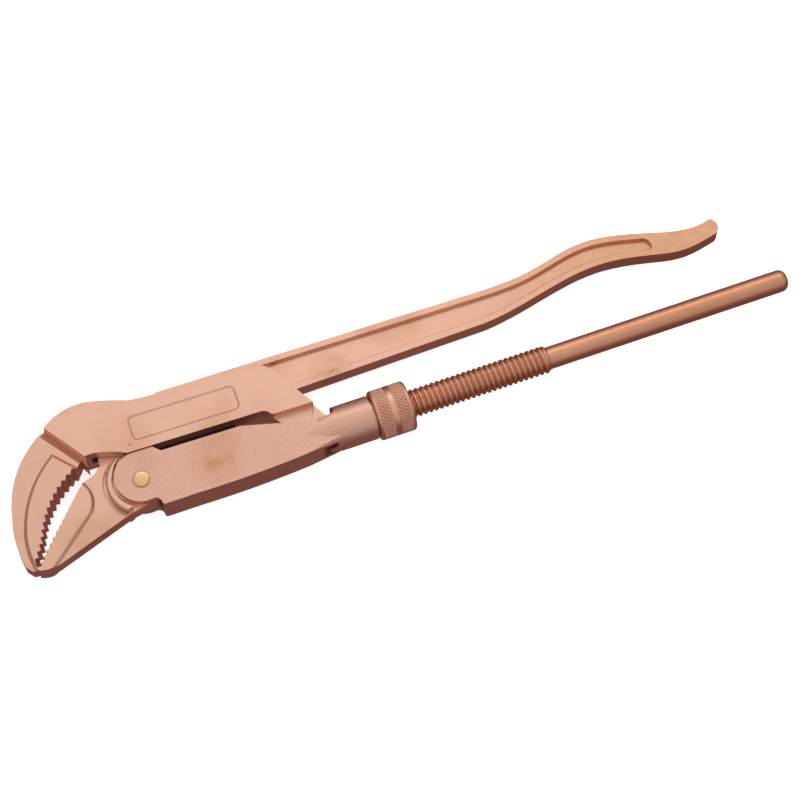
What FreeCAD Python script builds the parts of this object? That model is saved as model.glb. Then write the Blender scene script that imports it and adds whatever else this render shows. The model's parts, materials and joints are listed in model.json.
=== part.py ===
"""Swedish-pattern pipe wrench with 45 degree jaws, millimetres.

The model is laid out about the rivet: X runs along the upper leg from the jaws to the
handles, Y from the lower handle to the upper leg, and Z through the thickness. place()
then moves every piece so that the origin is at the bottom centre of the whole wrench.
"""
import FreeCAD, Part
import math
import os

V = FreeCAD.Vector

# ---- thicknesses, each half of the whole ----
PLATE_Z = 10.0         # neck and plate of the upper leg
RIM_Z = 4.25           # rim of the lower jaw
UPPER_ROOT_Z = 9.0     # tooth panel of the upper jaw beside the neck
UPPER_TIP_Z = 6.2      # the same panel at the tip
PANEL_RISE = 1.95      # how far the tooth panel stands above the upper jaw's rim
STEP_SINK = 2.2        # how far the neck's step cuts in below that rim
LOWER_PANEL_Z = 5.85   # raised tooth panel, lower jaw
FLANGE_Z = 4.9         # flanges of the handle
WEB_Z = 2.5            # web between the flanges
FLANGE_SINK = 1.6      # how far the handle lies lower than its flange beside the plate
HOUSING_Z = 9.0        # flat body of the housing
FORK_Z = 6.0           # slot between the cheeks
SLIDE_GAP = 0.4        # clearance of pieces that slide past each other in Z
TONGUE_Z = 3.0         # guide tongue of the lower jaw
TRACK_Z = 6.0          # track of the guide pin in the leg
PAD_DEPTH = 0.7        # blank label pad, sunk into the plate
TANG_Z = 1.8           # tang at the spindle's hidden end
COLLAR_Z = 8.8         # arc-shaped collar on the lower jaw
GROOVE_DEPTH = 2.0     # arc-shaped groove round the collar

# ---- heights and lengths ----
LEG_UNDER = 16.1       # underside of the plate, above the rivet
LUG_UNDER = 12.6       # underside of the plate beside the lug
PLATE_TOP = 41.4
FLANGE_START = 16.0    # where the handle's upper flange starts, beside the plate
LEG_END = 339.5        # far end of the upper handle
HANDLE_TOP = PLATE_TOP + 5.4     # upper edge of the handle where it starts
HANDLE_DEPTH = 25.0              # depth of the handle where it starts
EAR_R = 14.2           # round end of the housing's ears
COLLAR_R = 17.6        # outer edge of the collar
GROOVE_WIDTH = 3.0     # of the groove round the collar
PAD_CORNER = 3.2       # corner radius of the label pad
PAD_WALL = 1.0         # its sloped wall, seen from above
RIVET_R = 3.6
RIVET_HEAD_R = RIVET_R + 1.0
RIVET_FIT = 0.05       # radial clearance of the rivet in what turns on it
TRAVEL = 50.0          # how far the lower jaw runs along the leg
STEP_RUN = 0.7         # wall of the neck's step, seen from above
VALLEY_RUN = 4.4       # from its foot up to the rim
GUIDE_PIN_R = 2.6
GUIDE_PIN_AT = (-6.0, 26.0)
ANCHOR_R = 2.0
ANCHOR_X = 89.0
TANG_LENGTH = 14.5     # from the anchor pin to the round shank

# ---- spindle, nut and socket, along the spindle's own axis ----
AXIS_TILT = 1.27       # degrees, towards the upper handle
AXIS_DROP = 4.6        # the axis passes this far under the rivet
THREAD_R = 7.6
THREAD_START = 124.0
THREAD_END = 225.0
ROD_R = 6.1
ROD_END = 364.0
SHANK_R = 4.6
SOCKET_R = 11.9
SOCKET_START = 106.0
BLEND_RISE = 23.0      # the flat body rises into the socket over this length
BLEND_FALL = 30.0      # and its lower corners run out over this one
BLEND_SPREAD = 4.2     # where they start, outside the socket's radius
SOCKET_END = 125.6
BORE_R = THREAD_R + 0.3
NUT_FIT = 0.05         # radial clearance of the thread's crests in the nut
NUT_R = 13.6
NUT_LENGTH = 20.0
NUT_GAP = 1.2          # open joint between socket and nut
SPIGOT_R = BORE_R + 1.8
SPIGOT_LENGTH = 6.4

RING_SPAN = (SOCKET_END + 3.0, SOCKET_END + 4.4)
FLOOR_TOP = -13.2      # inner face of the housing's floor

# ---- teeth ----
UPPER_TEETH = 14
LOWER_TEETH = 13
UPPER_DEPTH = 1.8
LOWER_DEPTH = 1.9


def edge_line(a, b):
    return Part.LineSegment(V(*a, 0), V(*b, 0)).toShape()


def edge_arc(a, middle, b):
    return Part.Arc(V(*a, 0), V(*middle, 0), V(*b, 0)).toShape()


def edge_curve(points, start_slope, end_slope):
    curve = Part.BSplineCurve()
    curve.interpolate(Points=[V(*p, 0) for p in points],
                      InitialTangent=V(*start_slope, 0), FinalTangent=V(*end_slope, 0))
    return curve.toShape()


def outline(start, *steps):
    """Closed outline. A step is a point for a line, or a pair of points for an arc."""
    edges = []
    here = start
    for step in steps + (start,):
        if isinstance(step[0], tuple):
            edges.append(edge_arc(here, *step))
            here = step[1]
        elif math.dist(here, step) > 1e-6:
            edges.append(edge_line(here, step))
            here = step
    return Part.Wire(Part.__sortEdges__(edges))


def slab(wire, half, low=None):
    """Solid of an outline, from -half to half, or from low to half."""
    bottom = -half if low is None else low
    face = Part.Face(wire)
    face.translate(V(0, 0, bottom))
    return face.extrude(V(0, 0, half - bottom))


def rod(radius, start, end, centre=(0, 0)):
    """Round bar along X."""
    return Part.makeCylinder(radius, end - start, V(start, *centre), V(1, 0, 0))


def pin(radius, half, at=(0, 0)):
    """Round bar along Z, centred on the middle plane."""
    return Part.makeCylinder(radius, 2 * half, V(*at, -half))


def block(x0, x1, y0, y1, half):
    return Part.makeBox(x1 - x0, y1 - y0, 2 * half, V(x0, y0, -half))


def rounded_outline(x0, x1, y0, y1, r):
    """Rectangle with round corners."""
    k = r * (1 - math.sqrt(0.5))
    return outline((x0 + r, y0), (x1 - r, y0), ((x1 - k, y0 + k), (x1, y0 + r)),
                   (x1, y1 - r), ((x1 - k, y1 - k), (x1 - r, y1)),
                   (x0 + r, y1), ((x0 + k, y1 - k), (x0, y1 - r)),
                   (x0, y0 + r), ((x0 + k, y0 + k), (x0 + r, y0)))


def label_pad():
    """Blank pad with sloped walls, sunk into the front face of the plate."""
    x0, x1, y0, y1 = 2.2, 61.2, LEG_UNDER + 5.1, PLATE_TOP - 5.6
    mouth = rounded_outline(x0, x1, y0, y1, PAD_CORNER)
    floor = rounded_outline(x0 + PAD_WALL, x1 - PAD_WALL, y0 + PAD_WALL, y1 - PAD_WALL,
                            PAD_CORNER - PAD_WALL)
    mouth.translate(V(0, 0, PLATE_Z))
    floor.translate(V(0, 0, PLATE_Z - PAD_DEPTH))
    return Part.makeLoft([floor, mouth], True, True)


def along_neck(section):
    """Prism along the neck's step, and its mirror image; the section is (out, z)."""
    line = V(NECK_CORNER[0] - NECK_FOOT[0], NECK_CORNER[1] - NECK_FOOT[1], 0)
    out = V(-line.y, line.x, 0).normalize()
    start = V(*NECK_FOOT, 0) - line * 0.2
    corners = [start + out * run + V(0, 0, z) for run, z in section]
    upper = Part.Face(Part.makePolygon(corners + [corners[0]])).extrude(line * 1.4)
    return [upper, upper.mirror(V(0, 0, 0), V(0, 0, 1))]


def toothed(path, count, depth, lead):
    """Points of a row of teeth along path(s), s from 0 to 1, tips to its right.

    Each tooth has its tip at the share lead of its pitch, and its roots at the ends.
    """
    points = []
    for i in range(count):
        root = path(i / count)
        after = path((i + 1) / count)
        tx, ty = after[0] - root[0], after[1] - root[1]
        pitch = math.hypot(tx, ty)
        nx, ny = ty / pitch, -tx / pitch
        points.append(root)
        points.append((root[0] + lead * tx + depth * nx, root[1] + lead * ty + depth * ny))
    points.append(path(1))
    return points


NECK_FOOT = (-24.6, 21.5)                      # where the neck's step meets the mouth
NECK_CORNER = (-40.3, PLATE_TOP + 2.4)         # where it meets the back of the jaw
JAW_LINE = ((-32.0, 32.0), (-66.0, -27.0))     # middle of the upper jaw, neck to tip

# ---- tooth lines ----
UPPER_ROOTS = ((-30.8, 16.6), (-48.6, 1.2), (-57.3, -16.0))     # start, middle, end of an arc
UPPER_LAST = (-64.4, -27.4)                                     # straight from the arc to here
LOWER_ROOTS = ((-31.0, 7.2), (-61.6, -28.4))


def upper_path(s):
    """Circular arc through the three points of UPPER_ROOTS, then straight to UPPER_LAST."""
    circle = Part.Arc(*[V(*p, 0) for p in UPPER_ROOTS])
    bend, last = V(*UPPER_ROOTS[2], 0), V(*UPPER_LAST, 0)
    curved = circle.length()
    whole = curved + bend.distanceToPoint(last)
    run = s * whole
    if run <= curved:
        at = circle.value(circle.parameterAtDistance(run, circle.FirstParameter))
    else:
        at = bend + (last - bend) * ((run - curved) / (whole - curved))
    return at.x, at.y


def lower_path(s):
    a, b = LOWER_ROOTS
    return a[0] + s * (b[0] - a[0]), a[1] + s * (b[1] - a[1])


def mouth_of_upper():
    """What is cut from the upper jaw: all on the mouth side of its teeth."""
    row = [(-26.6, 21.3)] + toothed(lambda s: upper_path(1 - s), UPPER_TEETH, -UPPER_DEPTH, 0.74)[::-1]
    return Part.makePolygon([V(*p, 0) for p in row + [(-60, -45), (-5, -20), (-26.6, 21.3)]])


def mouth_of_lower():
    """What is cut from the lower jaw: all on the mouth side of its teeth."""
    row = toothed(lower_path, LOWER_TEETH, LOWER_DEPTH, 0.74)
    return Part.makePolygon([V(*p, 0) for p in [(-29.0, 9.8)] + row + [(-80, -30), (-60, 25), (-29.0, 9.8)]])


def on_slope(wire, at_root, at_tip):
    """An outline of the upper jaw, lifted onto a plane that falls from root to tip."""
    (rx, ry), (tx, ty) = JAW_LINE
    share = (at_tip - at_root) / ((tx - rx) ** 2 + (ty - ry) ** 2)
    ax, ay = share * (tx - rx), share * (ty - ry)
    return wire.transformGeometry(FreeCAD.Matrix(1, 0, 0, 0, 0, 1, 0, 0,
                                                 ax, ay, 1, at_root - ax * rx - ay * ry, 0, 0, 0, 1))


def both_faces(bottom, top):
    """Solid between two outlines above the middle plane, and its mirror image below."""
    upper = Part.makeLoft([bottom, top], True, True)
    return [upper, upper.mirror(V(0, 0, 0), V(0, 0, 1))]


def upper_jaw():
    """Jaw with a rim round its tooth panel, both thinner towards the tip."""
    rim = outline((-24.0, 22.5), NECK_CORNER, ((-58.8, 27.8), (-69.3, 2.6)),
                  ((-71.4, -12.0), (-69.9, -26.0)), (-67.0, -29.6), (-60.0, -29.6), (-24.0, 10.0))
    panel = outline((-27.9, 17.6), (-39.9, 30.9), ((-58.8, 11.4), (-66.6, -6.6)),
                    ((-68.2, -16.5), (-67.4, -27.8)), (-67.2, -31.0), (-58.0, -31.0), (-24.0, 10.0))
    rim_root, rim_tip = UPPER_ROOT_Z - PANEL_RISE, UPPER_TIP_Z - PANEL_RISE
    jaw = both_faces(rim, on_slope(rim, rim_root, rim_tip))
    raised = both_faces(on_slope(panel, rim_root - 1, rim_tip - 1),
                        on_slope(panel.makeOffset2D(-PANEL_RISE - 1), UPPER_ROOT_Z, UPPER_TIP_Z))
    raised = raised[0].fuse(raised[1]).common(slab(rim, 20))
    return jaw[0].fuse([jaw[1], raised]).cut(slab(mouth_of_upper(), 20))


def leg_plate():
    corner = 3.0
    return slab(outline(NECK_FOOT, NECK_CORNER, ((-29.8, PLATE_TOP + 8.2), (-16.5, PLATE_TOP + 9.8)),
                        ((-2.0, PLATE_TOP + 6.2), (14.0, PLATE_TOP)), (82.0 - corner, PLATE_TOP),
                        (83.0, 38.0), (94.0, 19.0), (98.0, LUG_UNDER), (75.6, LUG_UNDER),
                        (73.4, LEG_UNDER - 0.9), (71.0, LEG_UNDER), (-2.9, LEG_UNDER),
                        ((-11.5, 19.7), (-19.7, 21.6))), PLATE_Z)


def handle_outline(inset, start, whole=True):
    """Outline of the handle from x = start, drawn in from its edge by inset.

    The whole outline ends at the tip. The other one ends where the channel of the
    I-section runs out, before the tip.
    """
    top = HANDLE_TOP - inset
    low = HANDLE_TOP - HANDLE_DEPTH + inset
    bend_top = [(LEG_END - x, PLATE_TOP + y) for x, y in ((134.5, 6.4), (107.5, 8.8), (76.5, 15.9),
                                                          (43.5, 11.6), (19.5, 5.8), (3.0, 7.3))]
    bend_low = [(LEG_END - x, PLATE_TOP + y) for x, y in ((139.5, -12.6), (108.5, -6.5), (69.5, 0.5),
                                                          (39.5, -3.4), (23.5, -5.8), (4.0, -2.4))]
    if whole:
        tip, slope_top, slope_low = (LEG_END, PLATE_TOP + 2.5), (10, 3.0), (10, 2.6)
    else:
        bend_top, bend_low = bend_top[:4], bend_low[:4]
        tip, slope_top, slope_low = (LEG_END - 38.5, PLATE_TOP + 3.6), (10, -2.6), (10, -2.6)
    bend_top = [(x, y - inset) for x, y in bend_top]
    bend_low = [(x, y + inset) for x, y in bend_low]
    edges = [edge_line((start, top), bend_top[0]),
             edge_curve(bend_top, (27, 0.5), slope_top),
             edge_arc(bend_top[-1], tip, bend_low[-1]),
             edge_curve(bend_low, (30, 3.0), slope_low),
             edge_line(bend_low[0], (start, low)),
             edge_line((start, low), (start, top))]
    return Part.Wire(Part.__sortEdges__(edges))


def handle():
    """I-section: a blank as thick as the flanges, with a sloped pocket in each face."""
    blank = slab(handle_outline(0.0, 21.0), FLANGE_Z)
    root = slab(outline((-4.0, PLATE_TOP + 4.1), ((4.0, PLATE_TOP + 5.6), (12.0, HANDLE_TOP - 0.4)),
                        (22.0, HANDLE_TOP - 0.6), (22.0, PLATE_TOP - 5), (-4.0, PLATE_TOP - 5)), FLANGE_Z)
    floor = handle_outline(4.6, 27.3, whole=False)
    mouth = handle_outline(3.3, 26.0, whole=False)
    floor.translate(V(0, 0, WEB_Z))
    mouth.translate(V(0, 0, FLANGE_Z + 0.1))
    pocket = Part.makeLoft([floor, mouth], True, True)
    other = pocket.mirror(V(0, 0, 0), V(0, 0, 1))
    beside_plate = block(FLANGE_START, 84, LEG_UNDER, HANDLE_TOP - 3.1, 20)
    beside_plate = beside_plate.cut(block(0, 100, 0, 60, FLANGE_Z - FLANGE_SINK))
    return blank.fuse(root).cut(pocket).cut(other).cut(beside_plate)


def lug():
    """Lug that stands in the housing's slot; its open slot takes the spindle's tang."""
    x, y = ANCHOR_X, axis_height(ANCHOR_X)
    body = slab(outline((75.6, LUG_UNDER + 4), (75.6, LUG_UNDER), (80.5, 6.0), (82.5, y - 5.5),
                        (98.0, y - 5.5), (103.2, 3.4), (98.0, LUG_UNDER + 0.1), (96.5, 17.0)),
                FORK_Z - SLIDE_GAP)
    tang_room = block(70, 115, -20, y + 6.5, TANG_Z + SLIDE_GAP)
    seat = pin(ANCHOR_R + 0.3, 10, (x, y)).fuse(block(x - ANCHOR_R - 2.0, x + ANCHOR_R + 0.3,
                                                      y - 20, y, 10))
    return body.cut(tang_room).cut(seat)


def axis_height(x):
    """Height of the spindle's axis over the rivet at a place along the leg."""
    return math.tan(math.radians(AXIS_TILT)) * x - AXIS_DROP


def on_axis(shape):
    """Puts a piece made along X onto the spindle's axis."""
    shape.rotate(V(0, 0, 0), V(0, 0, 1), AXIS_TILT)
    shape.translate(V(0, -AXIS_DROP, 0))
    return shape


def upper_leg():
    px, py = GUIDE_PIN_AT
    room = 0.4
    throat = block(-21.0, px + TRAVEL + 12, 5, py + 5.0, TONGUE_Z + SLIDE_GAP)
    track = slab(rounded_outline(px - GUIDE_PIN_R - 3.0, px + TRAVEL + GUIDE_PIN_R + 2.0,
                                 py - GUIDE_PIN_R - room - 0.5, py + GUIDE_PIN_R + room,
                                 GUIDE_PIN_R), TRACK_Z)
    rim_z = UPPER_ROOT_Z - PANEL_RISE
    valley = along_neck([(0.0, PLATE_Z + 5), (0.0, PLATE_Z), (STEP_RUN, rim_z - STEP_SINK),
                         (STEP_RUN + VALLEY_RUN, rim_z + 0.3), (STEP_RUN + VALLEY_RUN, PLATE_Z + 5)])
    leg = leg_plate().fuse([upper_jaw(), handle(), lug()]).cut(valley[0]).cut(valley[1])
    return leg.cut(throat).cut(track).cut(label_pad()).removeSplitter()


def lower_jaw():
    eye_z = FORK_Z - SLIDE_GAP
    web = slab(outline((-28.6, 10.0), (-24.5, 11.4), ((-21.2, 13.2), (-19.4, 15.6)),
                       (-4.0, 15.6), ((11.8, -3.6), (1.0, -12.3)), (-11.0, -15.2),
                       (-53.0, -30.2), (-58.5, -31.4), (-64.2, -30.4), (-62, -26), (-31.5, 7.0)),
               RIM_Z)
    panel = slab(outline((-28.9, 9.8), ((-26.0, 0.6), (-29.2, -8.6)), (-52.6, -29.4),
                         ((-57.5, -31.3), (-63.4, -30.6)), (-64.2, -30.4), (-62, -26),
                         (-31.5, 7.0)), LOWER_PANEL_Z)
    tops = [e for e in panel.Edges if abs(abs(e.CenterOfMass.z) - LOWER_PANEL_Z) < 1e-6
            and e.CenterOfMass.y < e.CenterOfMass.x * 1.16 + 33 and e.CenterOfMass.x > -62]
    panel = panel.makeChamfer(LOWER_PANEL_Z - RIM_Z - 0.01, tops)
    eye = slab(outline((-9.0, 15.0), (0.0, 13.0), ((12.4, -3.0), (0.0, -12.6)),
                       ((-12.6, -6.0), (-14.5, 4.0))), eye_z)
    collar = pin(COLLAR_R + 0.9, COLLAR_Z).cut(pin(COLLAR_R - 2.1, 20))
    tops = [e for e in collar.Edges if abs(abs(e.CenterOfMass.z) - COLLAR_Z) < 1e-6
            and e.Curve.Radius > COLLAR_R]
    collar = collar.makeChamfer(0.9, tops)
    sector = slab(outline((-8.0, 15.6), (-30.0, 15.6), (-30.0, -22.0), (-17.5, -17.5),
                          (-7.6, -12.6), ((-14.5, 1.0), (-8.0, 15.6))), 20)
    collar = collar.common(sector)
    groove = pin(COLLAR_R + GROOVE_WIDTH, 20).cut(pin(COLLAR_R - 0.5, 20)).cut(pin(30, RIM_Z - GROOVE_DEPTH))
    groove = groove.common(sector)
    px, py = GUIDE_PIN_AT
    tongue = slab(outline((-18.2, 12.0), (-18.2, 20.0), (-14.0, 27.0), ((-10.0, 30.2), (px, 30.6)),
                          ((-1.4, 28.2), (-0.6, 24.0)), (-0.6, 12.0)), TONGUE_Z)
    jaw = web.cut(groove).fuse([panel, eye, collar]).cut(slab(mouth_of_lower(), 20)).fuse(tongue)
    jaw = jaw.cut(pin(RIVET_R + RIVET_FIT, 20)).cut(pin(GUIDE_PIN_R, 20, GUIDE_PIN_AT))
    return jaw.removeSplitter()


def housing():
    ear = (0.6, 15.8 - EAR_R)
    left = (ear[0] - EAR_R, ear[1])
    floor_x = 6.8
    body = slab(outline((ear[0], 15.8), (10.4, 15.8), (14.4, 12.1), (57.6, 12.1), (79.0, 6.6),
                        (101.4, 2.2), ((104.6, 1.6), (107.0, 4.4)), (SOCKET_START + 3, 5.0),
                        (SOCKET_START + 3, -11.0), (104.0, -12.2), ((62.0, -16.0), (26.0, -16.9)), (8.2, -17.3),
                        ((7.2, -16.8), (floor_x, -15.2)), ((5.4, -13.0), (3.4, -12.3)),
                        ((-9.6, -8.4), left), ((-9.6, 11.6), (ear[0], 15.8))), HOUSING_Z)
    slot = block(-30, SOCKET_START - 2.2, FLOOR_TOP, 30, FORK_Z)
    slot_end = block(-30, floor_x + 0.2, -30, 30, FORK_Z)
    round_end = Part.makeCylinder(3.0, 2 * HOUSING_Z + 2, V(104.2, 4.6, -HOUSING_Z - 1))
    socket = on_axis(rod(SOCKET_R, SOCKET_START, SOCKET_END))
    rise = on_axis(Part.makeCone(HOUSING_Z - 0.6, SOCKET_R, BLEND_RISE,
                                 V(SOCKET_START - BLEND_RISE, 0, 0), V(1, 0, 0)))
    rise = rise.common(block(80, 130, -30, 3.0, SOCKET_R + 1))
    fall = on_axis(Part.makeCone(SOCKET_R + BLEND_SPREAD, SOCKET_R, BLEND_FALL,
                                 V(SOCKET_START - BLEND_FALL, 0, 0), V(1, 0, 0)))
    # both cutting blocks keep clear of the tilted ends of what they are cut round
    corners = block(SOCKET_START - BLEND_FALL + 1, SOCKET_START, -30, -5.0, 15).cut(fall)
    keep = on_axis(rod(SOCKET_R, SOCKET_START - 1, SOCKET_END))
    under_socket = block(SOCKET_START, SOCKET_START + 5, -30, -5.0, 15).cut(keep)
    spigot = on_axis(rod(SPIGOT_R, SOCKET_END - 1, SOCKET_END + SPIGOT_LENGTH))
    groove = on_axis(rod(SPIGOT_R + 1, *RING_SPAN).cut(rod(SPIGOT_R - 0.9, *RING_SPAN)))
    bore = on_axis(rod(BORE_R, THREAD_START - TRAVEL - 3, 200))
    shank_room = on_axis(rod(SHANK_R + 0.4, 80, 130))
    shape = body.cut(corners).cut(under_socket).fuse([socket, rise, spigot]).cut(round_end).cut(slot).cut(slot_end)
    return shape.cut(groove).cut(bore).cut(shank_room).cut(pin(RIVET_R + RIVET_FIT, 20)).removeSplitter()


def adjusting_nut():
    start = SOCKET_END + NUT_GAP
    body = rod(NUT_R, start, start + NUT_LENGTH)
    rims = [e for e in body.Edges if isinstance(e.Curve, Part.Circle)]
    body = body.makeChamfer(1.4, rims)
    recess = rod(SPIGOT_R + 0.35, start - 1, SOCKET_END + SPIGOT_LENGTH + 0.6)
    groove = rod(SPIGOT_R + 1.3, *RING_SPAN)
    return on_axis(body.cut(rod(THREAD_R + NUT_FIT, 0, 200)).cut(recess).cut(groove))


def nut_ring():
    start, end = RING_SPAN
    ring = rod(SPIGOT_R + 1.3, start, end).cut(rod(SPIGOT_R - 0.6, start, end))
    return on_axis(ring.common(rod(SPIGOT_R + 1.3, start + 0.15, end - 0.15)))


def spindle():
    """Shank with a tang, a threaded length and the plain lower handle."""
    shank = rod(SHANK_R, ANCHOR_X + TANG_LENGTH, THREAD_START + 2)
    tang = rod(SHANK_R, ANCHOR_X, ANCHOR_X + TANG_LENGTH + 1).common(block(80, 120, -6, 6, TANG_Z))
    eye = pin(SHANK_R, TANG_Z, (ANCHOR_X, 0))
    thread = rod(THREAD_R, THREAD_START, THREAD_END)
    ends = [e for e in thread.Edges if isinstance(e.Curve, Part.Circle)]
    thread = thread.makeChamfer(THREAD_R - ROD_R, ends)
    handle_bar = rod(ROD_R, THREAD_END - 2, ROD_END)
    tip = [e for e in handle_bar.Edges if isinstance(e.Curve, Part.Circle) and e.CenterOfMass.x > 300]
    handle_bar = handle_bar.makeFillet(4.0, tip)
    bar = shank.fuse([tang, eye, thread, handle_bar]).cut(pin(ANCHOR_R, 20, (ANCHOR_X, 0)))
    return on_axis(bar.removeSplitter())


def jaw_rivet():
    seat = HOUSING_Z + RIVET_FIT
    shank = pin(RIVET_R, seat)
    heads = []
    for side in (1, -1):
        head = Part.makeCylinder(RIVET_HEAD_R, 1.5, V(0, 0, side * seat), V(0, 0, side))
        top = [e for e in head.Edges if abs(e.CenterOfMass.z - side * (seat + 1.5)) < 1e-6]
        heads.append(head.makeFillet(1.2, top))
    return shank.fuse(heads).removeSplitter()


def guide_pin():
    return pin(GUIDE_PIN_R, TRACK_Z - SLIDE_GAP, GUIDE_PIN_AT)


def anchor_pin():
    return on_axis(pin(ANCHOR_R, FORK_Z - SLIDE_GAP, (ANCHOR_X, 0)))


def place(pieces):
    """Moves the wrench so that the bottom centre of its box is the origin."""
    box = Part.makeCompound(list(pieces.values())).optimalBoundingBox(False)
    shift = V(-(box.XMin + box.XMax) / 2, -(box.YMin + box.YMax) / 2, -box.ZMin)
    for piece in pieces.values():
        piece.translate(shift)
    return shift, box


PIECES = {
    "upper_leg": upper_leg(),
    "lower_jaw": lower_jaw(),
    "guide_pin": guide_pin(),
    "jaw_rivet": jaw_rivet(),
    "housing": housing(),
    "adjusting_nut": adjusting_nut(),
    "nut_ring": nut_ring(),
    "spindle": spindle(),
    "anchor_pin": anchor_pin(),
}
SHIFT, BOX = place(PIECES)
os.makedirs("parts", exist_ok=True)
for name, piece in PIECES.items():
    solid = piece.Solids[0]
    print(name, len(piece.Solids), solid.isValid(), round(solid.Volume, 1))
    solid.exportStep("parts/" + name + ".step")
print("box", BOX)
print("rivet at", SHIFT)
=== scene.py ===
# %% [markdown]
# # A pipe wrench in copper-coloured alloy
#
# The wrench comes in as a finished CAD frame: a forged upper leg, a lower jaw, a forked
# housing, a nut and a spindle. This lesson gives each piece the surface of the real tool.
# Most pieces are forgings whose shape is already right, so they only need rounded edges
# and a finish. The knurled nut and the threaded spindle are drawn anew, because their
# fine relief is a pattern that a formula gives better than a CAD solid does.

# %% Load the frame
import json
import math

import bmesh
import bpy
import numpy as np
from mathutils import Matrix, Vector


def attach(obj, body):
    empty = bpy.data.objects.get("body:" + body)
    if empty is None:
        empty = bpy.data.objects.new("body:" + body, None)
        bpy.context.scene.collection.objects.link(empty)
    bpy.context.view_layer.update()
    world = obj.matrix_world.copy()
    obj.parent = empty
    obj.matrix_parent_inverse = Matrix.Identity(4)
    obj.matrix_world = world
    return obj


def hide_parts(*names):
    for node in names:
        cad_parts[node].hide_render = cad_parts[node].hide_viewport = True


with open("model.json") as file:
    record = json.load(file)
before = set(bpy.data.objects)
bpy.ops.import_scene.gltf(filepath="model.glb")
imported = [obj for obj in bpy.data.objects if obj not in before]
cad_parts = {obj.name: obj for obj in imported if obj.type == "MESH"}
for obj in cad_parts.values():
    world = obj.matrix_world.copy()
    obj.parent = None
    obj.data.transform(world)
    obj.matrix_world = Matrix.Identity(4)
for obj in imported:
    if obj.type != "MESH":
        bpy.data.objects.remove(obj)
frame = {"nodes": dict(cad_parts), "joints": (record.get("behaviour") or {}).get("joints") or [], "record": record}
joints = {joint["name"]: joint for joint in frame["joints"]}
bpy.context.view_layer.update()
MM = 0.001
print("nodes:", sorted(frame["nodes"]))

# %% [markdown]
# ## Where things are
#
# The hinge of the handles gives the rivet's place. The sliding joint of the spindle gives
# the direction of its axis, and the nut's joint gives a point on it. Every round piece is
# drawn along that axis. The places measured along it start at the rivet's foot on the axis.

# %% Rivet and spindle axis
rivet = np.array(joints["leg_swing"]["pos_m"])
axis_point = np.array(joints["nut_spin"]["pos_m"])
axis_along = np.array(joints["spindle_slide"]["axis"])
axis_along = axis_along / np.linalg.norm(axis_along)
axis_across = np.array([-axis_along[1], axis_along[0], 0.0])
axis_up = np.array([0.0, 0.0, 1.0])
axis_foot = axis_point - axis_along * float(axis_along @ (axis_point - rivet))
print("rivet:", rivet.round(4), "axis:", axis_along.round(4))


def measured_on_axis(node):
    """Lowest and highest place of a CAD node along the spindle's axis, and its reach, in mm.

    The place is the dot product with the axis, and the reach is the length that is left.
    """
    mesh = frame["nodes"][node].data
    points = np.empty(len(mesh.vertices) * 3)
    mesh.vertices.foreach_get("co", points)
    offset = (points.reshape(-1, 3) - axis_foot) / MM
    along = offset @ axis_along
    reach = np.linalg.norm(offset - along[:, None] * axis_along, axis=1)
    return float(along.min()), float(along.max()), float(reach.max())


for node in ("spindle", "adjusting_nut"):
    print(node, "from, to and reach, mm:", [round(v, 2) for v in measured_on_axis(node)])


# %% [markdown]
# ## Turned pieces
#
# A turned piece is a profile carried round an axis. The profile is a list of points, each
# with a distance along the axis and a radius. On a grid of profile points by angles, the
# place of a point is: foot + x along + r cos(angle) up + r sin(angle) across. A relief
# such as a thread or a knurl is a small change of r that depends on both x and angle.

# %% Turned surfaces on the spindle's axis
def mesh_from_grid(name, points, close_profile):
    """Quads between neighbours of a grid (profile, angle, 3); angles always close."""
    rows, columns = points.shape[:2]
    index = np.arange(rows * columns).reshape(rows, columns)
    here = index if close_profile else index[:-1]
    after = np.roll(index, -1, axis=0) if close_profile else index[1:]
    here_next, after_next = np.roll(here, -1, axis=1), np.roll(after, -1, axis=1)
    faces = np.stack([here, here_next, after_next, after], axis=-1).reshape(-1, 4)
    mesh = bpy.data.meshes.new(name)
    mesh.from_pydata(points.reshape(-1, 3).tolist(), [], faces.tolist())
    piece = bpy.data.objects.new(name, mesh)
    bpy.context.scene.collection.objects.link(piece)
    return piece


MERGE = 1e-7  # metres


def finish_mesh(piece):
    """Merges doubles, turns the faces outwards and smooths the shading."""
    work = bmesh.new()
    work.from_mesh(piece.data)
    bmesh.ops.remove_doubles(work, verts=work.verts, dist=MERGE)
    bmesh.ops.recalc_face_normals(work, faces=work.faces)
    work.to_mesh(piece.data)
    work.free()
    piece.data.shade_smooth()
    print(piece.name, "faces:", len(piece.data.polygons))
    return piece


def turned(name, profile, steps, relief=None, close_profile=False):
    """Surface of revolution about the spindle's axis; profile rows are (x, r) in mm."""
    profile = np.asarray(profile, float)
    angle = np.linspace(0, 2 * np.pi, steps, endpoint=False)[None, :]
    x = profile[:, :1] + 0 * angle
    r = profile[:, 1:] + 0 * angle
    if relief is not None:
        r = r + relief(x, r, angle)
    up, across = (r * np.cos(angle))[..., None], (r * np.sin(angle))[..., None]
    points = axis_foot + MM * (x[..., None] * axis_along + up * axis_up + across * -axis_across)
    return finish_mesh(mesh_from_grid(name, points, close_profile))


def fillet(cx, cr, radius, start, end, count=6):
    """Points of a round corner: (cx + radius cos a, cr + radius sin a), degrees."""
    a = np.radians(np.linspace(start, end, count))
    return np.column_stack([cx + radius * np.cos(a), cr + radius * np.sin(a)])


# %% [markdown]
# ## The spindle
#
# The spindle is one bar: a flat tang and a shank inside the housing, a rolled thread, and
# the plain lower handle with a rounded end. The thread is a right-hand helix. Its phase is
# x / pitch - angle / (2 pi), and |cos(pi phase)| to the power 0.8 has the wide round
# crests and narrow valleys of a worn, coarse thread. It fades in and out at both ends.

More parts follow.
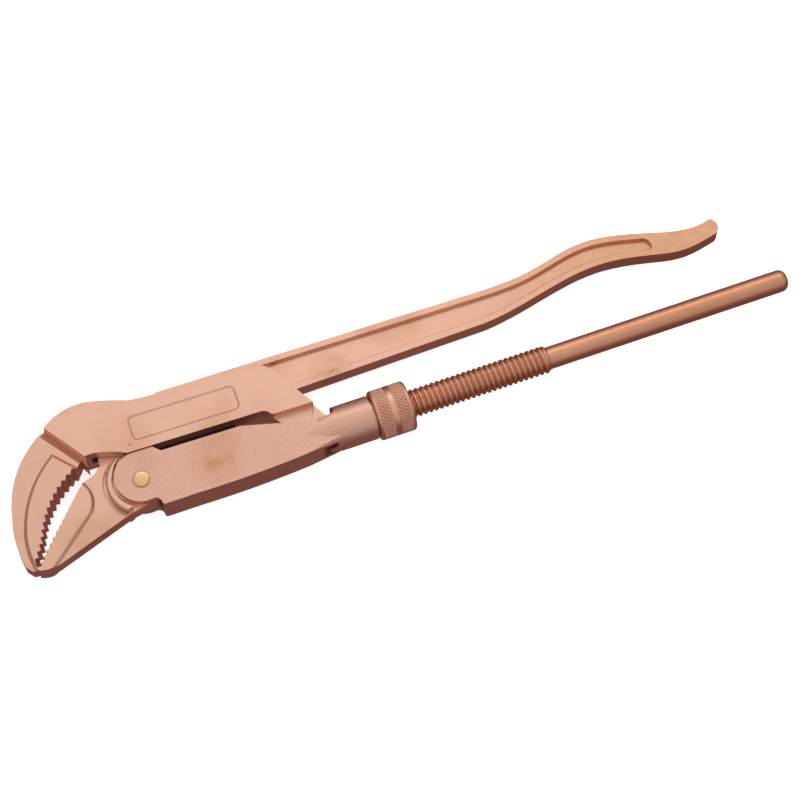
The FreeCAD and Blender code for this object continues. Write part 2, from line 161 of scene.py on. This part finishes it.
# %% Threaded bar
PITCH = 2 * math.pi / [c for c in frame["record"]["behaviour"]["couplings"]
                       if c["joint"] == "nut_spin"][0]["ratio"] / MM
TANG_FROM, BAR_END, CREST_R = measured_on_axis("spindle")
BAR_END -= 0.05
BAR_R = frame["record"]["mounts"][0]["dims"]["r_mm"]
THREAD_FROM, THREAD_TO = 124.0, 225.0
THREAD_DEPTH, THREAD_SHAPE = 1.45, 0.8
THREAD_COLLAR = 0.06
SHANK_FROM, SHANK_R = 103.5, 4.6
END_ROUND = 4.2


def thread_relief(x, r, angle):
    """-depth (1 - |cos(pi phase)|^0.8), faded to nothing over a pitch at each end."""
    phase = x / PITCH - angle / (2 * np.pi)
    wave = np.abs(np.cos(np.pi * phase)) ** THREAD_SHAPE
    inside = np.clip((x - THREAD_FROM) / PITCH, 0, 1) * np.clip((THREAD_TO - x) / PITCH, 0, 1)
    inside = np.where(r > BAR_R + 0.05, inside, 0)
    return -THREAD_DEPTH * (1 - wave) * inside


thread_x = np.linspace(THREAD_FROM, THREAD_TO, 460)
run_out = np.clip((THREAD_TO - thread_x) / 1.5, 0, 1) ** 0.5
run_in = np.clip((thread_x - THREAD_FROM) / 1.2, 0, 1)
thread_r = BAR_R + THREAD_COLLAR + (CREST_R - BAR_R - THREAD_COLLAR) * np.minimum(run_out, run_in)
bar_profile = np.vstack([
    [(SHANK_FROM, 0.0), (SHANK_FROM, SHANK_R - 0.3), (SHANK_FROM + 0.3, SHANK_R)],
    [(THREAD_FROM - 0.2, SHANK_R), (THREAD_FROM, BAR_R - 0.4)],
    np.column_stack([thread_x, thread_r]),
    [(x, BAR_R) for x in np.linspace(THREAD_TO + 0.3, BAR_END - END_ROUND, 30)],
    fillet(BAR_END - END_ROUND, BAR_R - END_ROUND, END_ROUND, 86, 4, 9),
    [(BAR_END, BAR_R - END_ROUND), (BAR_END, 0.0)]])
threaded_bar = turned("threaded_bar", bar_profile, 72, thread_relief)
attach(threaded_bar, "bar")
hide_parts("spindle")
print("pitch, mm:", round(PITCH, 3))

# %% [markdown]
# ## The tang
#
# Inside the housing the bar ends in a flat tang with an eye for the anchor pin. It is a
# flat loop: an outer outline and the eye's circle, with the same number of points, joined
# across both faces and round both edges.

# %% Flat tang with its eye
TANG_HALF, TANG_TO, EYE_R = 1.8, 104.5, 2.0
EYE_AT = TANG_FROM + SHANK_R


def tang_grid(count=64):
    """Grid of four loops: outer low, outer high, eye high, eye low."""
    a = np.linspace(0, 2 * np.pi, count, endpoint=False)
    to_end = (TANG_TO - EYE_AT) / np.maximum(np.cos(a), 1e-6)
    to_side = SHANK_R / np.maximum(np.abs(np.sin(a)), 1e-6)
    reach = np.where(np.cos(a) > 0, np.minimum(to_end, to_side), SHANK_R)
    outer = np.column_stack([EYE_AT + reach * np.cos(a), reach * np.sin(a)])
    eye = np.column_stack([EYE_AT + EYE_R * np.cos(a), EYE_R * np.sin(a)])
    loops = [(outer, -TANG_HALF), (outer, TANG_HALF), (eye, TANG_HALF), (eye, -TANG_HALF)]
    return np.stack([axis_foot + MM * (p[:, :1] * axis_along + p[:, 1:] * axis_across + z * axis_up)
                     for p, z in loops])


tang = finish_mesh(mesh_from_grid("spindle_tang", tang_grid(), True))
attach(tang, "bar")
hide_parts("spindle")

# %% [markdown]
# ## The adjusting nut
#
# The nut has two bands of diamond knurl with a smooth band between them. A knurl is two
# sets of helical grooves that cross. With N diamonds round the nut, the grooves are where
# N angle / 2 + k x or N angle / 2 - k x is a multiple of pi, and the height between them
# is the smaller of the two |sin|, so each diamond is a small pyramid.

# %% Knurled nut
NUT_FROM, NUT_TO, NUT_R = measured_on_axis("adjusting_nut")
NUT_R -= 0.05
NUT_RIM = 1.5
BORE_R = CREST_R + 0.06
DIAMONDS = 44
KNURL_DEPTH, KNURL_STEEPNESS, KNURL_SLANT = 0.8, 1.6, 0.62
SMOOTH_BAND, GROOVE_DEPTH, GROOVE_HALF = 1.6, 0.35, 0.3
RECESS_R, RECESS_TO = 10.05, NUT_FROM + 5.8
print("nut along the axis, mm:", round(NUT_FROM, 2), round(NUT_TO, 2))


def knurl_relief(x, r, angle):
    """-depth (1 - 1.6 min(|sin a|, |sin b|)), only on the outer wall and off the bands."""
    k = DIAMONDS / (2 * NUT_R) * KNURL_SLANT
    a = DIAMONDS / 2 * angle + k * x
    b = DIAMONDS / 2 * angle - k * x
    peak = np.minimum(1, KNURL_STEEPNESS * np.minimum(np.abs(np.sin(a)), np.abs(np.sin(b))))
    middle = (NUT_FROM + NUT_TO) / 2
    band = np.clip((np.abs(x - middle) - SMOOTH_BAND) / 0.5, 0, 1)
    fade_in = np.clip((x - NUT_FROM - NUT_RIM) / 0.8, 0, 1)
    fade_out = np.clip((NUT_TO - NUT_RIM - x) / 0.8, 0, 1)
    wall = np.where(r > NUT_R - 0.7, 1.0, 0.0)
    from_edge = np.abs(np.abs(x - middle) - SMOOTH_BAND)
    groove = GROOVE_DEPTH * wall * (1 - np.clip(from_edge / GROOVE_HALF, 0, 1))
    return -KNURL_DEPTH * (1 - peak) * band * (fade_in * fade_out) * wall - groove


outer_x = np.linspace(NUT_FROM + NUT_RIM, NUT_TO - NUT_RIM, 116)
nut_profile = np.vstack([
    [(NUT_FROM, RECESS_R + 0.05), (NUT_FROM, NUT_R - NUT_RIM)],
    fillet(NUT_FROM + NUT_RIM, NUT_R - NUT_RIM, NUT_RIM, 170, 95, 6),
    np.column_stack([outer_x, np.full_like(outer_x, NUT_R)]),
    fillet(NUT_TO - NUT_RIM, NUT_R - NUT_RIM, NUT_RIM, 85, 10, 6),
    [(NUT_TO, NUT_R - NUT_RIM), (NUT_TO, BORE_R + 0.9), (NUT_TO - 0.9, BORE_R)],
    [(RECESS_TO, BORE_R), (RECESS_TO, RECESS_R), (NUT_FROM + 0.05, RECESS_R)]])
knurled_nut = turned("knurled_nut", nut_profile, 480, knurl_relief, close_profile=True)
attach(knurled_nut, "nut")
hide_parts("adjusting_nut")

# %% [markdown]
# ## Rounded edges on the forgings
#
# A forging has no sharp edges. The CAD solids of the leg, the jaw and the housing do, so
# each is copied, its loose triangles are merged, flat areas are joined into one face each, and
# a Bevel modifier then rounds every edge that turns by more than 30 degrees. The round is
# cut into the metal, so the piece keeps its size.

# %% Copies of the forgings with rounded edges
WELD = 2e-6  # metres
FLAT_ANGLE, EDGE_ANGLE = math.radians(0.6), math.radians(30)
ROUND_SEGMENTS = 3


def rounded_copy(node, body, width_mm):
    """Copy of a CAD node with its doubles merged, its flats dissolved and edges bevelled."""
    source = frame["nodes"][node]
    mesh = source.data.copy()
    work = bmesh.new()
    work.from_mesh(mesh)
    bmesh.ops.remove_doubles(work, verts=work.verts, dist=WELD)
    bmesh.ops.dissolve_limit(work, angle_limit=FLAT_ANGLE, verts=work.verts, edges=work.edges)
    work.to_mesh(mesh)
    work.free()
    piece = bpy.data.objects.new(node + "_forged", mesh)
    bpy.context.scene.collection.objects.link(piece)
    bevel = piece.modifiers.new("rounded edges", "BEVEL")
    bevel.width = width_mm * MM
    bevel.segments = ROUND_SEGMENTS
    bevel.limit_method = "ANGLE"
    bevel.angle_limit = EDGE_ANGLE
    bevel.use_clamp_overlap = True
    mesh.shade_smooth()
    flats = piece.modifiers.new("flat faces stay flat", "WEIGHTED_NORMAL")
    flats.mode = "FACE_AREA"
    flats.weight = 100
    flats.keep_sharp = True
    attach(piece, body)
    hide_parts(node)
    print(piece.name, "faces before bevel:", len(mesh.polygons))
    return piece


forged_leg = rounded_copy("upper_leg", "leg", 0.6)
forged_jaw = rounded_copy("lower_jaw", "jaw", 0.35)
forged_housing = rounded_copy("housing", "fork", 0.6)

# %% [markdown]
# ## The rivet
#
# The rivet's head is a low dome, turned up by the press that closed it. Its profile is a
# circular arc from the rim to the top, and it is carried round the rivet's own axis. The
# two heads and the shank between them are one closed surface.

# %% Domed rivet
def turned_about_z(name, profile, centre, steps=64):
    """Surface of revolution about a line along Z; profile rows are (r, z) in mm."""
    profile = np.asarray(profile, float)
    angle = np.linspace(0, 2 * np.pi, steps, endpoint=False)[None, :]
    r = profile[:, :1] * MM
    points = np.stack([centre[0] + r * np.cos(angle), centre[1] + r * np.sin(angle),
                       centre[2] + profile[:, 1:] * MM + 0 * angle], axis=-1)
    return finish_mesh(mesh_from_grid(name, points, False))


HEAD_R, HEAD_SEAT, HEAD_TOP, SHANK = 4.6, 9.05, 10.5, 3.6
HEAD_RIM, DOME_SHAPE = 0.45, 0.8
dome = np.linspace(0, 1, 14) * np.pi / 2
dome_z = HEAD_SEAT + HEAD_RIM + (HEAD_TOP - HEAD_SEAT - HEAD_RIM) * np.sin(dome)
upper_dome = np.column_stack([HEAD_R * np.cos(dome) ** DOME_SHAPE, dome_z])
head_foot = [(SHANK, HEAD_SEAT), (HEAD_R - 0.1, HEAD_SEAT), (HEAD_R, HEAD_SEAT + 0.12)]
upper_side = np.vstack([head_foot, upper_dome])
lower_side = upper_side[::-1] * [1, -1]
domed_rivet = turned_about_z("domed_rivet", np.vstack([lower_side, upper_side]), rivet)
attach(domed_rivet, "rivet")
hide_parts("jaw_rivet")

# %% [markdown]
# ## Finishes
#
# All pieces are one copper-coloured alloy, but each was finished in its own way: the leg
# and the jaw were ground on a belt, the housing was blasted, and the thread was rolled.
# One function builds the metal. It takes a grain, which is a noise stretched along the
# direction of grinding, a fine pitting, and a brown tarnish in large soft patches. All of
# them read Object coordinates, so they stay on the metal when the piece moves.

# %% The alloy
def link(tree, a, b):
    """Joins one node's output to another node's input."""
    tree.links.new(a, b)


def noise(tree, vector, scale, detail, rough):
    """Smooth random pattern around one half."""
    node = tree.nodes.new("ShaderNodeTexNoise")
    node.inputs["Scale"].default_value = scale
    node.inputs["Detail"].default_value = detail
    node.inputs["Roughness"].default_value = rough
    link(tree, vector, node.inputs["Vector"])
    return node.outputs["Fac"]


def remap(tree, value, low, high, to_low, to_high):
    """Straight line from low, to_low to high, to_high, held at both ends."""
    node = tree.nodes.new("ShaderNodeMapRange")
    limits = {"From Min": low, "From Max": high, "To Min": to_low, "To Max": to_high}
    for name, number in limits.items():
        node.inputs[name].default_value = number
    link(tree, value, node.inputs["Value"])
    return node.outputs["Result"]


def blend_colour(tree, share, a, b):
    """(1 - share) a + share b; a and b are colours or sockets."""
    node = tree.nodes.new("ShaderNodeMix")
    node.data_type = "RGBA"
    link(tree, share, node.inputs["Factor"])
    for socket, colour in ((node.inputs["A"], a), (node.inputs["B"], b)):
        if isinstance(colour, tuple):
            socket.default_value = (*colour, 1)
        else:
            link(tree, colour, socket)
    return node.outputs["Result"]


def stretched(tree, turn_degrees, along, across):
    """Object coordinates turned about Z and scaled, so that a noise becomes a grain."""
    coordinates = tree.nodes.new("ShaderNodeTexCoord")
    mapping = tree.nodes.new("ShaderNodeMapping")
    mapping.inputs["Rotation"].default_value = (0, 0, math.radians(turn_degrees))
    mapping.inputs["Scale"].default_value = (along, across, across)
    link(tree, coordinates.outputs["Object"], mapping.inputs["Vector"])
    return mapping.outputs["Vector"]


def maths(tree, operation, a, b):
    """One sum of two values, each a number or a socket."""
    node = tree.nodes.new("ShaderNodeMath")
    node.operation = operation
    for socket, value in zip(node.inputs, (a, b)):
        if isinstance(value, (int, float)):
            socket.default_value = value
        else:
            link(tree, value, socket)
    return node.outputs["Value"]


def blotch(tree, vector, place_mm, radius_mm):
    """1 at a place beside the rivet, falling to 0 at the radius."""
    node = tree.nodes.new("ShaderNodeVectorMath")
    node.operation = "DISTANCE"
    link(tree, vector, node.inputs[0])
    node.inputs[1].default_value = [rivet[i] + place_mm[i] * MM for i in range(3)]
    return remap(tree, node.outputs["Value"], 0.0, radius_mm * MM, 1.0, 0.0)


def casting_pits(tree, vector, spacing_mm, radius_mm):
    """1 inside small round pits, one to each cell of a Voronoi pattern in X and Y."""
    node = tree.nodes.new("ShaderNodeTexVoronoi")
    node.voronoi_dimensions = "2D"
    node.inputs["Scale"].default_value = 1000.0 / spacing_mm
    link(tree, vector, node.inputs["Vector"])
    edge = radius_mm / spacing_mm
    return remap(tree, node.outputs["Distance"], edge * 0.6, edge, 1.0, 0.0)


PIT_COLOUR, PIT_R = (0.06, 0.03, 0.02), 0.55
TARNISH_SHARE = 0.35
# Browner towards the far ends: the tarnish share rises along X from 0.16 to 0.30 m beyond the rivet.
FAR_BROWN_FROM, FAR_BROWN_TO = 0.16, 0.30  # metres from the rivet


def alloy(name, colour, tarnish, roughness, grain, grain_mm, blast_mm, turn=0.0,
          sparkle=0.2, blotches=(), pit_spacing=None, far_brown_share=0.0):
    """Metal with a directional grain, a blasted texture, patches of tarnish and pits."""
    material = bpy.data.materials.new(name)
    material.use_nodes = True
    tree = material.node_tree
    shader = tree.nodes["Principled BSDF"]
    shader.inputs["Metallic"].default_value = 1.0
    plain = stretched(tree, 0, 1, 1)
    grain_at = stretched(tree, turn, grain[0], grain[1])
    streaks = noise(tree, grain_at, 1.0, 5.0, 0.6)
    pits = noise(tree, plain, 1100.0, 3.0, 0.6)
    patches = noise(tree, plain, 26.0, 3.0, 0.5)
    stain = remap(tree, patches, 0.52, 0.74, 0.0, TARNISH_SHARE)
    clouds = noise(tree, plain, 160.0, 4.0, 0.6)
    for place_mm, radius_mm in blotches:
        share = maths(tree, "MULTIPLY", blotch(tree, plain, place_mm, radius_mm),
                      remap(tree, clouds, 0.3, 0.65, 0.15, 0.75))
        stain = maths(tree, "MAXIMUM", stain, share)
    # Browner towards the far ends of the handle and the spindle: the tarnish share grows with X beyond the rivet,
    # mixed with soft clouds.
    if far_brown_share:
        position = tree.nodes.new("ShaderNodeSeparateXYZ")
        link(tree, plain, position.inputs["Vector"])
        far = remap(tree, position.outputs["X"], rivet[0] + FAR_BROWN_FROM, rivet[0] + FAR_BROWN_TO,
                    0.0, far_brown_share)
        cloudy = remap(tree, clouds, 0.25, 0.6, 0.55, 1.0)
        stain = maths(tree, "MAXIMUM", stain, maths(tree, "MULTIPLY", far, cloudy))
    tint = remap(tree, pits, 0.3, 0.7, 0.0, sparkle)
    brushed = remap(tree, streaks, 0.3, 0.7, 0.0, 0.16)
    shade = maths(tree, "MAXIMUM", tint, brushed)
    worn = blend_colour(tree, shade, colour, tuple(c * 0.55 for c in colour))
    surface = blend_colour(tree, stain, worn, tarnish)
    if pit_spacing:
        pitted = casting_pits(tree, plain, pit_spacing, PIT_R)
        surface = blend_colour(tree, pitted, surface, PIT_COLOUR)
    link(tree, surface, shader.inputs["Base Color"])
    rough = remap(tree, streaks, 0.3, 0.7, roughness - 0.06, roughness + 0.07)
    link(tree, rough, shader.inputs["Roughness"])
    first = tree.nodes.new("ShaderNodeBump")
    first.inputs["Distance"].default_value = grain_mm * MM
    first.inputs["Strength"].default_value = 0.5
    link(tree, streaks, first.inputs["Height"])
    second = tree.nodes.new("ShaderNodeBump")
    second.inputs["Distance"].default_value = blast_mm * MM
    second.inputs["Strength"].default_value = 0.6
    link(tree, pits, second.inputs["Height"])
    link(tree, first.outputs["Normal"], second.inputs["Normal"])
    link(tree, second.outputs["Normal"], shader.inputs["Normal"])
    return material


def wear(piece, material):
    """Gives a piece this material and no other."""
    piece.data.materials.clear()
    piece.data.materials.append(material)


BRONZE = (0.78, 0.46, 0.34)
TARNISH = (0.46, 0.20, 0.06)
ground_leg = alloy("belt-ground leg", BRONZE, TARNISH, 0.38, (60, 1600), 0.02, 0.02,
                   blotches=(((113, 30, 2.5), 14),), pit_spacing=90, far_brown_share=0.55)
ground_jaw = alloy("belt-ground jaw", BRONZE, TARNISH, 0.38, (1600, 90), 0.02, 0.02, turn=35)
blasted = alloy("blasted housing", (0.78, 0.45, 0.34), TARNISH, 0.42, (900, 900), 0.03, 0.06,
                sparkle=0.5, blotches=(((40, -2, 9), 17),))
rolled = alloy("rolled spindle", (0.76, 0.38, 0.25), (0.5, 0.22, 0.09), 0.34, (500, 1500),
               0.02, 0.05, sparkle=0.5, far_brown_share=0.4)
knurled = alloy("knurled nut", (0.76, 0.42, 0.30), (0.5, 0.26, 0.14), 0.34, (900, 900),
                0.01, 0.02)
pressed = alloy("pressed rivet", (0.76, 0.50, 0.28), (0.55, 0.33, 0.15), 0.32, (900, 900),
                0.01, 0.02)
for piece, material in ((forged_leg, ground_leg), (forged_jaw, ground_jaw),
                        (forged_housing, blasted), (threaded_bar, rolled), (tang, rolled),
                        (knurled_nut, knurled), (domed_rivet, pressed)):
    wear(piece, material)
for node in ("guide_pin", "nut_ring", "anchor_pin"):
    wear(frame["nodes"][node], pressed)
for node, material in (("upper_leg", ground_leg), ("lower_jaw", ground_jaw), ("housing", blasted),
                       ("spindle", rolled), ("adjusting_nut", knurled), ("jaw_rivet", pressed)):
    wear(frame["nodes"][node], material)
print("materials:", [m.name for m in bpy.data.materials])

# %% [markdown]
# ## Floor, light and camera
#
# The wrench lies on a plain pale floor. A metal mostly shows what it mirrors, so the light
# is a large soft panel overhead and behind, with a bright sky above and a dark one below:
# the faces that look up turn pale and the sides that look down turn deep red-brown. The
# floor doesn't show in mirror reflections, so it can stay white.

# %% Floor
def flat_panel(name, size, place):
    """One square face, level, with its middle at a place."""
    half = size / 2
    corners = [(-half, -half), (half, -half), (half, half), (-half, half)]
    mesh = bpy.data.meshes.new(name)
    points = [(place[0] + x, place[1] + y, place[2]) for x, y in corners]
    mesh.from_pydata(points, [], [(0, 1, 2, 3)])
    panel = bpy.data.objects.new(name, mesh)
    bpy.context.scene.collection.objects.link(panel)
    return panel


FLOOR_DROP = 0.0003  # metres under the wrench
floor = flat_panel("floor", 8.0, (0, 0, -FLOOR_DROP))
floor_paint = bpy.data.materials.new("pale floor")
floor_paint.use_nodes = True
paint = floor_paint.node_tree.nodes["Principled BSDF"].inputs
paint["Base Color"].default_value = (0.95, 0.95, 0.95, 1)
paint["Emission Color"].default_value = (1, 1, 1, 1)
paint["Emission Strength"].default_value = 0.75
paint["Roughness"].default_value = 0.9
floor.data.materials.append(floor_paint)
floor.visible_glossy = False

# %% Sky
world = bpy.data.worlds.new("studio")
bpy.context.scene.world = world
world.use_nodes = True
sky = world.node_tree
background = sky.nodes["Background"]
direction = sky.nodes.new("ShaderNodeTexCoord")
split = sky.nodes.new("ShaderNodeSeparateXYZ")
link(sky, direction.outputs["Generated"], split.inputs["Vector"])
ramp = sky.nodes.new("ShaderNodeValToRGB")
ramp.color_ramp.elements[0].position = 0.42
ramp.color_ramp.elements[0].color = (0.24, 0.125, 0.12, 1)
ramp.color_ramp.elements[1].position = 0.75
ramp.color_ramp.elements[1].color = (0.74, 0.735, 0.73, 1)
link(sky, remap(sky, split.outputs["Z"], -1, 1, 0, 1), ramp.inputs["Fac"])
link(sky, ramp.outputs["Color"], background.inputs["Color"])
background.inputs["Strength"].default_value = 1.0

# %% Camera
LENS = 120.0
SENSOR = 36.0
ELEVATION = math.radians(66.0)
TURN = math.radians(18.82)
DISTANCE = 1.4133
aim = Vector((rivet[0] + 0.1430, rivet[1] + 0.0029, rivet[2]))
look = Vector((math.sin(TURN) * math.cos(ELEVATION), math.cos(TURN) * math.cos(ELEVATION),
               -math.sin(ELEVATION)))
right = Vector((math.cos(TURN), -math.sin(TURN), 0))
up = right.cross(look)
camera_data = bpy.data.cameras.new("camera")
camera_data.lens = LENS
camera_data.sensor_width = SENSOR
camera = bpy.data.objects.new("camera", camera_data)
bpy.context.scene.collection.objects.link(camera)
turn_matrix = Matrix((right, up, -look)).transposed()
camera.matrix_world = Matrix.Translation(aim - look * DISTANCE) @ turn_matrix.to_4x4()
bpy.context.scene.camera = camera

# %% Lights
def panel_light(name, place, size, power):
    """Rectangular lamp at a place, turned towards the middle of the wrench."""
    data = bpy.data.lights.new(name, "AREA")
    data.shape = "RECTANGLE"
    data.size, data.size_y = size
    data.energy = power
    lamp = bpy.data.objects.new(name, data)
    bpy.context.scene.collection.objects.link(lamp)
    lamp.location = place
    towards = Vector((0, 0, 0)) - Vector(place)
    lamp.rotation_euler = towards.to_track_quat("-Z", "Y").to_euler()
    return lamp


view_flat = Vector((look.x, look.y, 0)).normalized()
panel_light("overhead panel", (0, 0, 1.6), (1.6, 1.6), 1.8)
panel_light("back panel", view_flat * 1.1 + Vector((0, 0, 1.2)), (1.8, 0.7), 4)
bpy.context.scene.view_settings.view_transform = "Standard"

# %% [markdown]
# ## End
#
# The view layer is brought up to date.

# %% End
bpy.context.view_layer.update()
